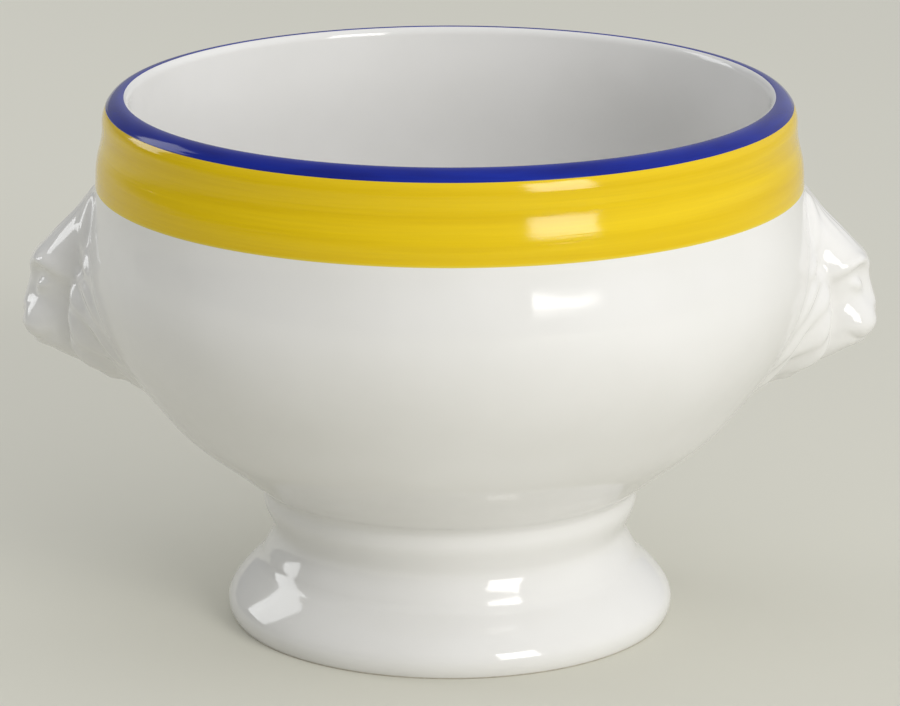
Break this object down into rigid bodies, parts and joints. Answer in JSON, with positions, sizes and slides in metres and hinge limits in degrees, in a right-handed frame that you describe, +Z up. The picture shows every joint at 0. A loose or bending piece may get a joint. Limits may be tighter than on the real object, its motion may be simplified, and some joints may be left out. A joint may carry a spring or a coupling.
{
  "type": "onion soup crock",
  "caption": "Footed porcelain soup bowl with a wide round mouth, lion mask handles on opposite sides, an enamel band under a coloured lip line, and a hollow stepped pedestal foot.",
  "frame": {"origin": "on the table, under the middle of the foot's standing ring", "axes": "+Z up through the mouth, +X towards the right-hand lion mask, -Y towards the viewer with a mask on either hand"},
  "size_m": [0.1518, 0.1284, 0.095],
  "materials": {
    "white_glaze": "gloss white glaze over hard porcelain",
    "yellow_enamel": "gloss bright yellow enamel",
    "blue_enamel": "gloss cobalt blue enamel"
  },
  "bodies": {
    "root": {"bowl": "white_glaze", "pedestal_foot": "white_glaze", "lion_handle_left": "white_glaze", "lion_handle_right": "white_glaze", "yellow_band": "yellow_enamel", "blue_rim_line": "blue_enamel"}
  },
  "joints": []
}
